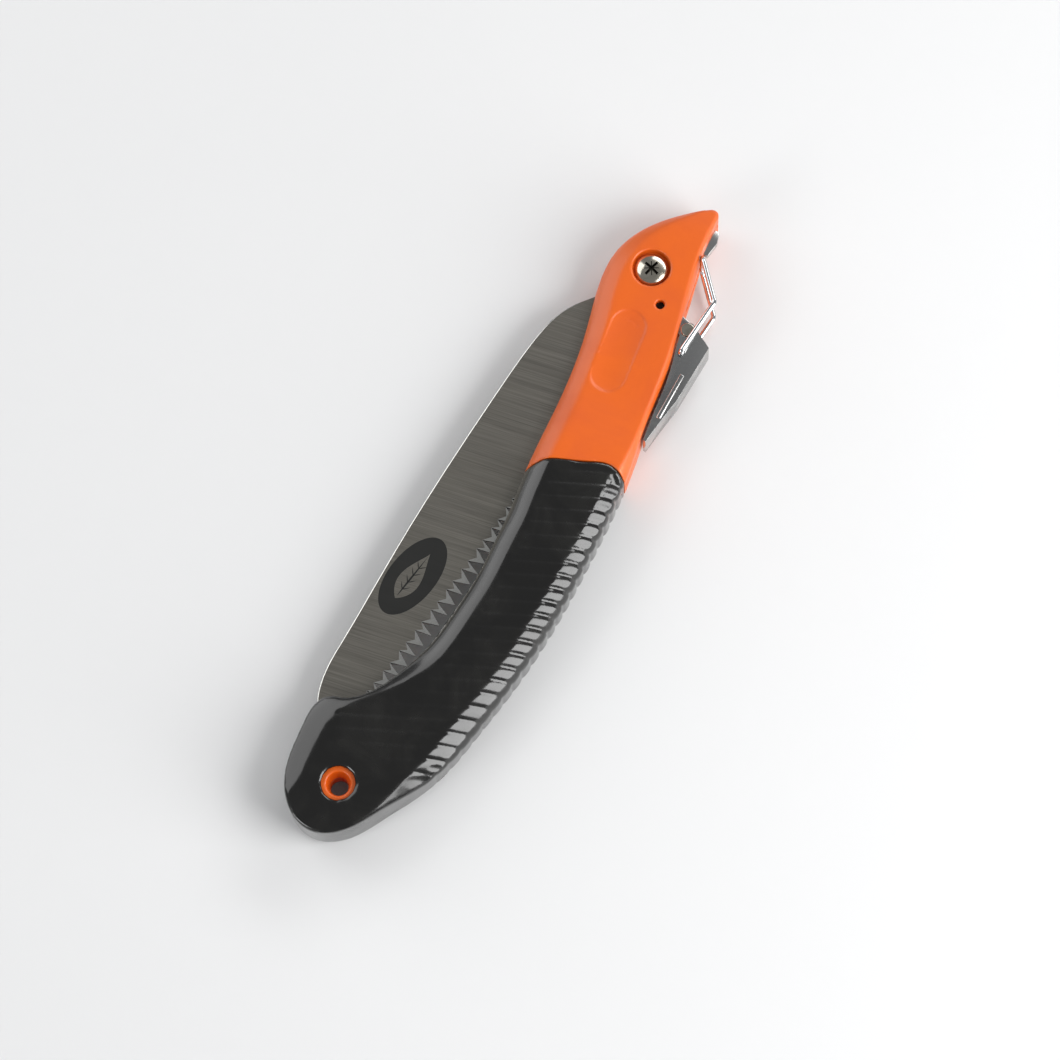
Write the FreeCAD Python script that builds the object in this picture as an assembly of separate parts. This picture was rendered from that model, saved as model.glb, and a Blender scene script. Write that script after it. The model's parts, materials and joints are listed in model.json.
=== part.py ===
import FreeCAD, Part
import math
import os

from FreeCAD import Vector

# Folding pruning saw, folded and latched. Millimetres.
# Origin: axis of the hang hole, on the parting plane of the two handle shells.
# +Y runs to the beak, +X to the spine (the convex side), +Z out of the front shell.

# ---- handle ----
GRIP_LENGTH = 130.0          # hang hole to the root of the orange head
HEAD_THICKNESS = 17.0
GRIP_THICKNESS = 22.0
TAIL_THICKNESS = 18.0
SLEEVE_WALL = 1.8
BORDER_LAND = 0.6            # how far the crown starts outside the outline
HANG_HOLE_DIAMETER = 5.8
SLEEVE_HOLE_DIAMETER = 10.3
THUMB_PAD_DIAMETER = 11.4
THUMB_PAD_DEPTH = 0.6

# ---- blade ----
BLADE_THICKNESS = 1.3
WASHER_THICKNESS = 0.6
SLIDE_GAP = 0.05             # each face of the blade to its washer
TOOTH_HEIGHT = 5.3
TOOTH_PITCHES = (3.3, 4.9)
TANG_RADIUS = 13.0
LOCK_TOOTH_RADIUS = 14.0      # the small tooth that the shells' front edge hides
LOCK_NOTCH_WIDTH = 2.3
LOCK_NOTCH_DEPTH = 1.8
BLADE_OPEN_ANGLE = 162.0
NECK_BACK_ANGLE = 232.0      # direction of the blade's back where it leaves the tang
SWEEP_CLEARANCE = 0.5
STOP_LEAD = 1.2              # degrees between the open blade's back and the catch plate

# ---- pivot ----
PIVOT_X = -1.5
PIVOT_ABOVE_ROOT = 64.7      # pivot above the root of the head
BARREL_DIAMETER = 6.0
PIVOT_THREAD_DIAMETER = 4.0
RUNNING_CLEARANCE = 0.05     # on the radius
PIVOT_HEAD_DIAMETER = 10.5
PIVOT_HEAD_HEIGHT = 2.6
HEAD_RECESS_DIAMETER = 12.3
HEAD_RECESS_DEPTH = 3.0
SPRING_WASHER_THICKNESS = 0.5
WASHER_DIAMETER = 14.0
STOP_PIN_DIAMETER = 3.0

# ---- latch ----
WIRE_DIAMETER = 1.7
WIRE_BEND_RADIUS = 1.9
PART_GAP = 0.35              # between parts that move past each other
BRACKET_GAUGE = 1.0
BRACKET_SPREAD = 9.2         # over the two ears
LEVER_GAUGE = 1.0
LEVER_GAP = 0.2              # ear to lever cheek, each side
RIVET_DIAMETER = 3.0
RIVET_HEAD_DIAMETER = 4.4
RIVET_HEAD_HEIGHT = 0.6
BRACKET_PIN_DIAMETER = 3.0
BRACKET_PIN_RECESS = 2.2

# ---- screws under the sleeve ----
SHELL_SCREW_DIAMETER = 2.6
SHELL_SCREW_HEAD_DIAMETER = 5.2
SHELL_SCREW_HEAD_HEIGHT = 1.7
SHELL_SCREW_DEPTH = 5.0      # thread beyond the parting plane

TAIL_ZONE = 24.0             # this stretch above the hang hole keeps its length
DRAWN_GRIP = 130.0           # grip length that the outline points are drawn for
FAR = 60.0
TOP = 40.0


def along(y):
    """Place along the handle of a point drawn for the standard grip."""
    if y <= TAIL_ZONE:
        return y
    if y >= DRAWN_GRIP:
        return y + GRIP_LENGTH - DRAWN_GRIP
    share = (y - TAIL_ZONE) / (DRAWN_GRIP - TAIL_ZONE)
    return TAIL_ZONE + share * (GRIP_LENGTH - TAIL_ZONE)


def placed(points):
    return [(x, along(y)) for x, y in points]


PIVOT = (PIVOT_X, GRIP_LENGTH + PIVOT_ABOVE_ROOT)
SLOT_HALF = BLADE_THICKNESS / 2 + WASHER_THICKNESS + SLIDE_GAP
HEAD_HALF = HEAD_THICKNESS / 2
RECESS_FLOOR = HEAD_HALF - HEAD_RECESS_DEPTH
WIRE_RADIUS = WIRE_DIAMETER / 2

# Places of the latch, from the pivot.
CROSSBAR = (PIVOT[0] + 12.2, PIVOT[1] + 11.6)
KNEE = (PIVOT[0] + 23.2, PIVOT[1] + 0.3)
LEVER_AXIS = (PIVOT[0] + 20.2, PIVOT[1] - 11.7)
BAIL_AXIS = (PIVOT[0] + 22.2, PIVOT[1] - 19.8)
BRACKET_PIN = (PIVOT[0] + 8.7, PIVOT[1] - 9.4)
STOP_PIN = (PIVOT[0] + 9.1, PIVOT[1] - 21.9)
SCREW_PLACES = placed([(20.5, 104.0), (20.5, 66.0), (14.0, 26.0)])

CROSSBAR_REACH = math.hypot(CROSSBAR[0] - PIVOT[0], CROSSBAR[1] - PIVOT[1])
CROSSBAR_ANGLE = math.degrees(math.atan2(CROSSBAR[1] - PIVOT[1], CROSSBAR[0] - PIVOT[0]))
LOBE_RADIUS = CROSSBAR_REACH - WIRE_RADIUS - SWEEP_CLEARANCE
PLATE_ANGLE = NECK_BACK_ANGLE - BLADE_OPEN_ANGLE - STOP_LEAD
LEVER_INNER = BRACKET_SPREAD / 2 + LEVER_GAP
LEVER_OUTER = LEVER_INNER + LEVER_GAUGE
LEG_PLANE = LEVER_OUTER + RIVET_HEAD_HEIGHT + PART_GAP + WIRE_RADIUS

# Outline of the handle: down the concave front, round the tail and up the spine.
FRONT_BORDER = placed([
    (4.9, 221.6), (-3.3, 215.2), (-11.0, 205.5), (-14.9, 195.5), (-14.6, 185.0),
    (-9.4, 166.0), (-5.4, 145.5), (-2.4, 117.5), (1.5, 91.0), (1.6, 62.0), (-2.2, 39.0)])
TAIL_BORDER = [
    (-7.4, 28.6), (-12.6, 24.3), (-17.8, 22.3), (-20.0, 18.6), (-19.9, 11.5), (-17.2, -3.4),
    (-10.6, -13.2), (-1.0, -17.1), (7.4, -13.4), (16.1, 0.1), (23.4, 14.4)]
SPINE_BORDER = placed([
    (28.4, 38.0), (31.2, 72.0), (30.0, 102.0), (27.0, 130.0), (22.8, 151.0), (19.6, 170.0),
    (15.6, 184.0), (12.9, 196.0), (9.9, 207.0)])
BEAK_FLANK = placed([(9.4, 209.0), (8.3, 219.6)])
BEAK_TIP = placed([(7.3, 221.9)])[0]

# Front end of the sleeve, from the concave side to the spine.
SLEEVE_EDGE = placed([
    (-6.0, 112.5), (-2.4, 116.6), (1.7, 121.8), (7.0, 124.8), (14.2, 128.2), (20.0, 130.6),
    (25.0, 129.8), (31.0, 125.0)])

# Crown of the handle: place, front edge, spine edge, half thickness, rounding at front and spine.
HEAD_HALF_TIP = HEAD_HALF - 1.0
GRIP_HALF = GRIP_THICKNESS / 2
TAIL_HALF = TAIL_THICKNESS / 2
CROWN = [
    (-22.0, -24.0, 24.0, TAIL_HALF - 3.5, 14.0, 14.0),
    (-12.0, -22.0, 22.0, TAIL_HALF - 1.0, 14.0, 12.0),
    (4.0, -21.5, 22.0, TAIL_HALF, 13.0, 10.0),
    (22.0, -20.4, 26.5, TAIL_HALF + 0.9, 14.0, 10.0),
    (34.0, -10.0, 28.0, GRIP_HALF - 0.8, 12.0, 10.0),
    (48.0, -1.4, 29.8, GRIP_HALF - 0.2, 10.0, 9.0),
    (72.0, 1.6, 31.5, GRIP_HALF, 9.0, 9.0),
    (102.0, -0.3, 30.3, GRIP_HALF, 9.0, 8.0),
    (128.0, -3.8, 27.5, GRIP_HALF - 0.3, 9.0, 5.0),
    (142.0, -5.2, 25.0, HEAD_HALF + 0.9, 9.0, 3.0),
    (153.0, -7.0, 22.6, HEAD_HALF, 9.0, 2.2),
    (172.0, -11.0, 19.2, HEAD_HALF, 9.0, 2.2),
    (190.0, -15.4, 14.5, HEAD_HALF, 9.0, 2.2),
    (206.0, -11.8, 10.4, HEAD_HALF, 8.0, 2.2),
    (215.0, -4.6, 9.2, HEAD_HALF - 0.3, 6.0, 2.2),
    (224.0, 3.0, 8.6, HEAD_HALF_TIP, 3.0, 2.2)]


def vector(point, z=0.0):
    return Vector(point[0], point[1], z)


def through(points, z=0.0):
    curve = Part.BSplineCurve()
    curve.interpolate([vector(p, z) for p in points])
    return curve.toShape()


def chain(points, z=0.0):
    corners = [vector(p, z) for p in points]
    return [Part.makeLine(a, b) for a, b in zip(corners[:-1], corners[1:])]


def slab(edges, low, high):
    """Solid between two heights over a closed loop of edges drawn at z = 0."""
    face = Part.Face(Part.Wire(Part.__sortEdges__(edges)))
    face.translate(Vector(0, 0, low))
    return face.extrude(Vector(0, 0, high - low))


def polygon(points, low, high):
    return slab(chain(points + points[:1]), low, high)


def rod(centre, radius, low, high):
    return Part.makeCylinder(radius, high - low, vector(centre, low))


def link_plate(a, radius_a, b, radius_b, low, high):
    """Plate with two round ends joined by their outer tangents."""
    span = math.hypot(b[0] - a[0], b[1] - a[1])
    heading = math.atan2(b[1] - a[1], b[0] - a[0])
    lean = math.acos((radius_a - radius_b) / span)
    corners = []
    for side in (1, -1):
        turn = heading + side * lean
        corners.append((a[0] + radius_a * math.cos(turn), a[1] + radius_a * math.sin(turn)))
        corners.append((b[0] + radius_b * math.cos(turn), b[1] + radius_b * math.sin(turn)))
    ring = [corners[0], corners[1], corners[3], corners[2]]
    plate = polygon(ring, low, high)
    return plate.fuse([rod(a, radius_a, low, high), rod(b, radius_b, low, high)]).removeSplitter()


def polar(radius, degrees):
    turn = math.radians(degrees)
    return (PIVOT[0] + radius * math.cos(turn), PIVOT[1] + radius * math.sin(turn))


def mirrored(shape):
    return shape.mirror(Vector(0, 0, 0), Vector(0, 0, 1))


def both_sides(shape):
    return shape.fuse(mirrored(shape)).removeSplitter()


def inset(points, depth):
    """Points moved inwards, to the left of the way they run."""
    moved = []
    for i, (x, y) in enumerate(points):
        x0, y0 = points[max(i - 1, 0)]
        x1, y1 = points[min(i + 1, len(points) - 1)]
        length = math.hypot(x1 - x0, y1 - y0)
        moved.append((x - depth * (y1 - y0) / length, y + depth * (x1 - x0) / length))
    return moved


# ---- the handle's two envelopes ----

def crown_section(y, front, spine, half, front_round, spine_round):
    def quarter(centre, reach):
        steps = [math.radians(22.5 * k) for k in range(5)]
        points = [Vector(centre - reach * math.cos(t), along(y), half * math.sin(t)) for t in steps]
        curve = Part.BSplineCurve()
        way = Vector(1 if reach > 0 else -1, 0, 0)
        curve.interpolate(Points=points, InitialTangent=Vector(0, 0, 1), FinalTangent=way)
        return curve.toShape()
    left = quarter(front + front_round, front_round)
    right = quarter(spine - spine_round, -spine_round)
    top = Part.makeLine(left.Vertexes[1].Point, right.Vertexes[1].Point)
    base = Part.makeLine(right.Vertexes[0].Point, left.Vertexes[0].Point)
    return Part.Wire([left, top, right, base])


def crown(depth):
    """Front half of the handle's crowned body, set in by a depth and not yet cut to outline."""
    sections = []
    for y, front, spine, half, front_round, spine_round in CROWN:
        grow = BORDER_LAND - depth
        sections.append(crown_section(y, front - grow, spine + grow, half - depth, front_round, spine_round))
    return Part.makeLoft(sections, True, False)


def handle_envelope():
    border = through(FRONT_BORDER + TAIL_BORDER + SPINE_BORDER)
    tip = Part.Arc(vector(BEAK_FLANK[-1]), vector(BEAK_TIP), vector(FRONT_BORDER[0])).toShape()
    flank = chain([SPINE_BORDER[-1]] + BEAK_FLANK)
    return slab([border, tip] + flank, 0, TOP).common(crown(0.0))


def core_envelope():
    """What the sleeve is moulded over: the handle without the sleeve's wall."""
    middle = [p for p in FRONT_BORDER + TAIL_BORDER + SPINE_BORDER if p[1] < PIVOT[1] - 35.0]
    border = inset(middle, SLEEVE_WALL)
    closing = chain([border[-1], border[0]])
    return slab([through(border)] + closing, 0, TOP).common(crown(SLEEVE_WALL))


def below_sleeve_edge(low, high):
    left = (SLEEVE_EDGE[0][0] - FAR, SLEEVE_EDGE[0][1])
    right = (SLEEVE_EDGE[-1][0] + FAR, SLEEVE_EDGE[-1][1])
    rim = chain([SLEEVE_EDGE[-1], right, (right[0], -FAR), (left[0], -FAR), left, SLEEVE_EDGE[0]])
    return slab([through(SLEEVE_EDGE)] + rim, low, high)


def blade_slot(half):
    """Room between the shells for the folded blade, its swing and its tang."""
    floor = placed([
        (11.5, 181.0), (11.0, 172.0), (9.0, 160.0), (9.0, 145.0), (10.5, 125.0), (13.0, 105.0),
        (15.0, 85.0), (15.0, 65.0), (12.5, 45.0), (6.0, 30.0), (0.0, 20.0)])
    floor += [(-3.0, 12.4), (-FAR, 12.4), (-FAR, PIVOT[1])]
    pocket = polygon([PIVOT] + floor, -half, half)
    swing = polygon([PIVOT, polar(FAR, PLATE_ANGLE), polar(2 * FAR, 130.0), polar(FAR, 190.0)], -half, half)
    tang_room = rod(PIVOT, LOBE_RADIUS + SWEEP_CLEARANCE, -half, half)
    return pocket.fuse([swing, tang_room]).removeSplitter()


# ---- blade ----

BLADE_BACK = placed([
    (-20.4, 169.0), (-23.2, 156.0), (-24.3, 138.0), (-25.1, 112.0), (-25.3, 83.0), (-24.7, 60.0),
    (-24.2, 42.0)])
BLADE_BACK += [(-22.8, 25.5), (-19.4, 18.2), (-10.6, 14.4)]
TOOTH_ROOTS = placed([
    (0.2, 165.0), (-0.9, 136.0), (-2.4, 100.0), (-4.0, 78.0), (-5.9, 58.0), (-8.4, 36.0)])
TOOTH_ROOTS += [(-10.8, 19.5)]
NECK_HEEL = (STOP_PIN[0] - STOP_PIN_DIAMETER / 2 - 0.2, STOP_PIN[1] - 6.0)
NECK_TOP = (STOP_PIN[0] - STOP_PIN_DIAMETER / 2 - 0.2, PIVOT[1] - 8.0)


def tooth_line():
    """Zigzag from the neck's heel to the tip: roots on the root curve, points out towards the spine."""
    roots = through(TOOTH_ROOTS).Curve
    length = roots.length()
    zigzag = []
    travelled = 0.0
    count = 0
    while True:
        pitch = TOOTH_PITCHES[count % 2]
        if travelled + pitch > length:
            break
        middle = roots.parameterAtDistance(travelled + pitch / 2, roots.FirstParameter)
        start = roots.value(roots.parameterAtDistance(travelled, roots.FirstParameter))
        tangent = roots.tangent(middle)[0]
        point = roots.value(middle)
        zigzag.append((start.x, start.y))
        zigzag.append((point.x - tangent.y * TOOTH_HEIGHT, point.y + tangent.x * TOOTH_HEIGHT))
        travelled += pitch
        count += 1
    end = roots.value(roots.parameterAtDistance(travelled, roots.FirstParameter))
    return zigzag + [(end.x, end.y)]


def saw_blade():
    half = BLADE_THICKNESS / 2
    heel = polar(LOBE_RADIUS, NECK_BACK_ANGLE)
    shoulder = polar(27.0, NECK_BACK_ANGLE)
    back = through([shoulder] + BLADE_BACK)
    teeth = tooth_line()
    rest = chain([BLADE_BACK[-1], teeth[-1]])
    rest += chain(teeth[::-1] + [NECK_HEEL, NECK_TOP, PIVOT, heel, shoulder])
    body = slab([back] + rest, -half, half)
    tang = [rod(PIVOT, TANG_RADIUS, -half, half)]
    open_notch = CROSSBAR_ANGLE + BLADE_OPEN_ANGLE
    for notch, lobe_end in ((CROSSBAR_ANGLE, CROSSBAR_ANGLE + 22.0), (open_notch, NECK_BACK_ANGLE)):
        tang.append(sector(LOBE_RADIUS, notch, lobe_end, half))
        tang.append(sector(LOCK_TOOTH_RADIUS, notch - 10.0, notch, half))
    blade = body.fuse(tang).removeSplitter()
    blade = blade.cut(rod(PIVOT, BARREL_DIAMETER / 2 + RUNNING_CLEARANCE, -half, half))
    for angle in (CROSSBAR_ANGLE, open_notch):
        blade = blade.cut(lock_notch(angle, half))
    return blade


def sector(radius, low, high, half):
    a = polar(radius, low)
    b = polar(radius, (low + high) / 2)
    c = polar(radius, high)
    arc = Part.Arc(vector(a), vector(b), vector(c)).toShape()
    return slab([arc] + chain([c, PIVOT, a]), -half, half)


def lock_notch(angle, half):
    seat = polar(LOBE_RADIUS - LOCK_NOTCH_DEPTH + LOCK_NOTCH_WIDTH / 2, angle)
    mouth = polar(LOBE_RADIUS + LOCK_NOTCH_WIDTH, angle)
    radius = LOCK_NOTCH_WIDTH / 2
    return link_plate(seat, radius, mouth, radius, -half, half)


# ---- shells and sleeve ----

def thumb_pad():
    top = (PIVOT[0] + 3.6, PIVOT[1] - 21.0)
    bottom = (PIVOT[0] + 6.3, PIVOT[1] - 37.8)
    radius = THUMB_PAD_DIAMETER / 2
    return link_plate(top, radius, bottom, radius, HEAD_HALF - THUMB_PAD_DEPTH, TOP)


def shell_blank():
    """Front shell before it takes the pieces that differ between front and rear."""
    outside = handle_envelope().cut(below_sleeve_edge(0, TOP))
    blank = outside.fuse(core_envelope()).removeSplitter()
    cuts = [
        blade_slot(SLOT_HALF),
        rod(PIVOT, HEAD_RECESS_DIAMETER / 2, RECESS_FLOOR, TOP),
        rod(PIVOT, BARREL_DIAMETER / 2 + RUNNING_CLEARANCE, 0, TOP),
        rod((0, 0), HANG_HOLE_DIAMETER / 2, 0, TOP),
        rod(CROSSBAR, WIRE_RADIUS + PART_GAP, 0, TOP),
        rod(STOP_PIN, STOP_PIN_DIAMETER / 2, 0, SLOT_HALF + 3.0),
        rod(BRACKET_PIN, BRACKET_PIN_DIAMETER / 2, BRACKET_SPREAD / 2 - 2.6, TOP),
        thumb_pad(),
        latch_bracket(),
        catch_plate()]
    for tool in cuts:
        blank = blank.cut(tool)
    return blank


def handle_shell_front():
    shell = shell_blank()
    for place in SCREW_PLACES:
        shell = shell.cut(rod(place, SHELL_SCREW_DIAMETER / 2, 0, SHELL_SCREW_DEPTH))
    return shell


def handle_shell_rear():
    shell = mirrored(shell_blank())
    for place in SCREW_PLACES:
        seat = screw_seat(place)
        shell = shell.cut(rod(place, SHELL_SCREW_DIAMETER / 2 + 0.2, -seat, 0))
        shell = shell.cut(rod(place, SHELL_SCREW_HEAD_DIAMETER / 2 + 0.2, -TOP, -seat))
    return shell


def screw_seat(place):
    """Depth of a screw head's seat below the parting plane."""
    if place[1] < along(40.0):
        return TAIL_HALF - SLEEVE_WALL - SHELL_SCREW_HEAD_HEIGHT - 1.0
    return GRIP_HALF - SLEEVE_WALL - SHELL_SCREW_HEAD_HEIGHT - 1.0


def grip_sleeve():
    outside = handle_envelope().common(below_sleeve_edge(0, TOP))
    half = outside.cut(core_envelope())
    half = half.cut(rod((0, 0), SLEEVE_HOLE_DIAMETER / 2, 0, TOP))
    sleeve = both_sides(half)
    return sleeve.cut(blade_slot(SLOT_HALF + 0.4))


# ---- pivot group ----

def pivot_screw():
    head_radius = PIVOT_HEAD_DIAMETER / 2
    rim = 0.9
    rise = PIVOT_HEAD_HEIGHT - rim
    dome_radius = (head_radius ** 2 + rise ** 2) / (2 * rise)
    top = RECESS_FLOOR + PIVOT_HEAD_HEIGHT
    dome = Part.makeSphere(dome_radius, vector(PIVOT, top - dome_radius))
    head = rod(PIVOT, head_radius, RECESS_FLOOR, TOP).common(dome)
    shank = rod(PIVOT, PIVOT_THREAD_DIAMETER / 2, -RECESS_FLOOR, RECESS_FLOOR)
    screw = head.fuse(shank).removeSplitter()
    for turn in (20.0, 110.0):
        arm = Part.makeBox(5.6, 1.0, 2.0, Vector(-2.8, -0.5, 0))
        arm.rotate(Vector(0, 0, 0), Vector(0, 0, 1), turn)
        arm.translate(vector(PIVOT, top - 1.5))
        screw = screw.cut(arm)
    return screw


def pivot_nut():
    seat = RECESS_FLOOR + SPRING_WASHER_THICKNESS
    flange = rod(PIVOT, PIVOT_HEAD_DIAMETER / 2, -seat - 1.6, -seat)
    barrel = rod(PIVOT, BARREL_DIAMETER / 2, -seat, RECESS_FLOOR - 0.5)
    nut = flange.fuse(barrel).removeSplitter()
    nut = nut.cut(rod(PIVOT, PIVOT_THREAD_DIAMETER / 2, -RECESS_FLOOR, RECESS_FLOOR))
    slot = Part.makeBox(PIVOT_HEAD_DIAMETER + 1, 1.2, 0.9)
    slot.translate(Vector(PIVOT[0] - PIVOT_HEAD_DIAMETER / 2 - 0.5, PIVOT[1] - 0.6, -seat - 1.7))
    return nut.cut(slot)


def ring(outer, inner, low, high):
    return rod(PIVOT, outer, low, high).cut(rod(PIVOT, inner, low, high))


def spring_washer():
    inner = BARREL_DIAMETER / 2 + RUNNING_CLEARANCE
    washer = ring(PIVOT_HEAD_DIAMETER / 2 - 0.2, inner, -RECESS_FLOOR - SPRING_WASHER_THICKNESS, -RECESS_FLOOR)
    split = Part.makeBox(TOP, 0.8, TOP, Vector(PIVOT[0], PIVOT[1] - 0.4, -TOP))
    return washer.cut(split)


def blade_washer(side):
    inner = BARREL_DIAMETER / 2 + RUNNING_CLEARANCE
    low = SLOT_HALF - WASHER_THICKNESS
    washer = ring(WASHER_DIAMETER / 2, inner, low, SLOT_HALF)
    return washer if side > 0 else mirrored(washer)


def fold_stop_pin():
    reach = SLOT_HALF + 3.0
    return rod(STOP_PIN, STOP_PIN_DIAMETER / 2, -reach, reach)


# ---- latch group ----

def catch_plate():
    """Steel tongue between the cheeks of the beak: the open blade's back comes to rest on it."""
    start = LOBE_RADIUS + SWEEP_CLEARANCE + 1.4
    border = [
        polar(start, PLATE_ANGLE), polar(start + 7.7, PLATE_ANGLE), (CROSSBAR[0] - 0.6, CROSSBAR[1] + 12.0),
        (CROSSBAR[0] + 0.7, CROSSBAR[1] + 8.2), (CROSSBAR[0] + 0.2, CROSSBAR[1] + 3.0),
        (CROSSBAR[0] - 2.2, CROSSBAR[1] + 2.6)]
    return polygon(border, -SLOT_HALF, SLOT_HALF)


def latch_bracket():
    outer = BRACKET_SPREAD / 2
    ear = link_plate(BRACKET_PIN, 3.2, LEVER_AXIS, 2.6, outer - BRACKET_GAUGE, outer)
    web_x = LEVER_AXIS[0] - RIVET_DIAMETER / 2 - 1.3
    web = Part.makeBox(BRACKET_GAUGE, 4.6, 2 * outer, Vector(web_x, LEVER_AXIS[1] - 1.6, -outer))
    bracket = ear.fuse([mirrored(ear), web]).removeSplitter()
    bracket = bracket.cut(rod(LEVER_AXIS, RIVET_DIAMETER / 2, -outer, outer))
    return bracket.cut(rod(BRACKET_PIN, BRACKET_PIN_DIAMETER / 2, -outer, outer))


def bracket_pin(side):
    pin = rod(BRACKET_PIN, BRACKET_PIN_DIAMETER / 2, BRACKET_SPREAD / 2 - 2.6, HEAD_HALF - BRACKET_PIN_RECESS)
    return pin if side > 0 else mirrored(pin)


def lever_rivet():
    reach = LEVER_OUTER + 0.1
    shaft = rod(LEVER_AXIS, RIVET_DIAMETER / 2, -reach, reach)
    head = rod(LEVER_AXIS, RIVET_HEAD_DIAMETER / 2, reach, reach + RIVET_HEAD_HEIGHT - 0.1)
    return shaft.fuse([head, mirrored(head)]).removeSplitter()


def latch_lever():
    x, y = LEVER_AXIS
    outer = [(x + 8.9, y - 1.8), (x + 8.9, y - 22.0), (x + 7.9, y - 31.0), (x + 7.2, y - 39.0)]
    inner = [(x + 6.3, y - 38.6), (x + 4.7, y - 29.5), (x + 3.1, y - 19.0), (x + 1.3, y - 11.7), (x - 1.4, y - 3.6)]
    cheek = polygon([(x - 1.2, y), (x + 0.8, y + 2.4)] + outer + inner, LEVER_INNER, LEVER_OUTER)
    cheek = cheek.fuse(rod(LEVER_AXIS, 2.6, LEVER_INNER, LEVER_OUTER)).removeSplitter()
    back = outer + [(px - LEVER_GAUGE, py + 0.1) for px, py in outer[::-1]]
    lever = cheek.fuse([mirrored(cheek), polygon(back, -LEVER_OUTER, LEVER_OUTER)]).removeSplitter()
    lever = lever.cut(rod(LEVER_AXIS, RIVET_DIAMETER / 2 + RUNNING_CLEARANCE, -TOP, TOP))
    return lever.cut(rod(BAIL_AXIS, WIRE_RADIUS + RUNNING_CLEARANCE, -TOP, TOP))


def bent_wire(corners, radius, bend):
    """Round wire along straight runs joined by tangent arcs."""
    edges = []
    start = corners[0]
    for before, corner, after in zip(corners[:-2], corners[1:-1], corners[2:]):
        back = (before - corner).normalize()
        on = (after - corner).normalize()
        half_angle = back.getAngle(on) / 2
        trim = bend / math.tan(half_angle)
        first = corner + back * trim
        last = corner + on * trim
        middle = (back + on).normalize()
        crest = corner + middle * (bend / math.sin(half_angle) - bend)
        edges.append(Part.makeLine(start, first))
        edges.append(Part.Arc(first, crest, last).toShape())
        start = last
    edges.append(Part.makeLine(start, corners[-1]))
    path = Part.Wire(edges)
    way = corners[1] - corners[0]
    section = Part.Wire([Part.makeCircle(radius, corners[0], way)])
    return path.makePipeShell([section], True, False)


def bail_wire():
    end = LEVER_INNER - 0.2
    corners = [
        vector(BAIL_AXIS, end), vector(BAIL_AXIS, LEG_PLANE), vector(KNEE, LEG_PLANE), vector(CROSSBAR, LEG_PLANE),
        vector(CROSSBAR, -LEG_PLANE), vector(KNEE, -LEG_PLANE), vector(BAIL_AXIS, -LEG_PLANE),
        vector(BAIL_AXIS, -end)]
    return bent_wire(corners, WIRE_RADIUS, WIRE_BEND_RADIUS)


def shell_screw(place):
    seat = screw_seat(place)
    shank = rod(place, SHELL_SCREW_DIAMETER / 2, -seat, SHELL_SCREW_DEPTH)
    head = rod(place, SHELL_SCREW_HEAD_DIAMETER / 2, -seat - SHELL_SCREW_HEAD_HEIGHT, -seat)
    return head.fuse(shank).removeSplitter()


def write(name, shape):
    solids = shape.Solids
    kept = solids[0] if len(solids) == 1 else Part.makeCompound(solids)
    print(name, "solids", len(solids), "valid", kept.isValid(), "volume", round(kept.Volume, 1))
    kept.exportStep(os.path.join("parts", name + ".step"))


def main():
    os.makedirs("parts", exist_ok=True)
    write("handle_shell_front", handle_shell_front())
    write("handle_shell_rear", handle_shell_rear())
    write("grip_sleeve", grip_sleeve())
    write("saw_blade", saw_blade())
    write("pivot_screw", pivot_screw())
    write("pivot_nut", pivot_nut())
    write("spring_washer", spring_washer())
    write("blade_washer_front", blade_washer(1))
    write("blade_washer_rear", blade_washer(-1))
    write("fold_stop_pin", fold_stop_pin())
    write("catch_plate", catch_plate())
    write("latch_bracket", latch_bracket())
    write("bracket_pin_front", bracket_pin(1))
    write("bracket_pin_rear", bracket_pin(-1))
    write("lever_rivet", lever_rivet())
    write("latch_lever", latch_lever())
    write("bail_wire", bail_wire())
    for number, place in enumerate(SCREW_PLACES, 1):
        write(f"shell_screw_{number}", shell_screw(place))


main()
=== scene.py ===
import bmesh
import bpy
import json
import math

from mathutils import Matrix, Vector

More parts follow.
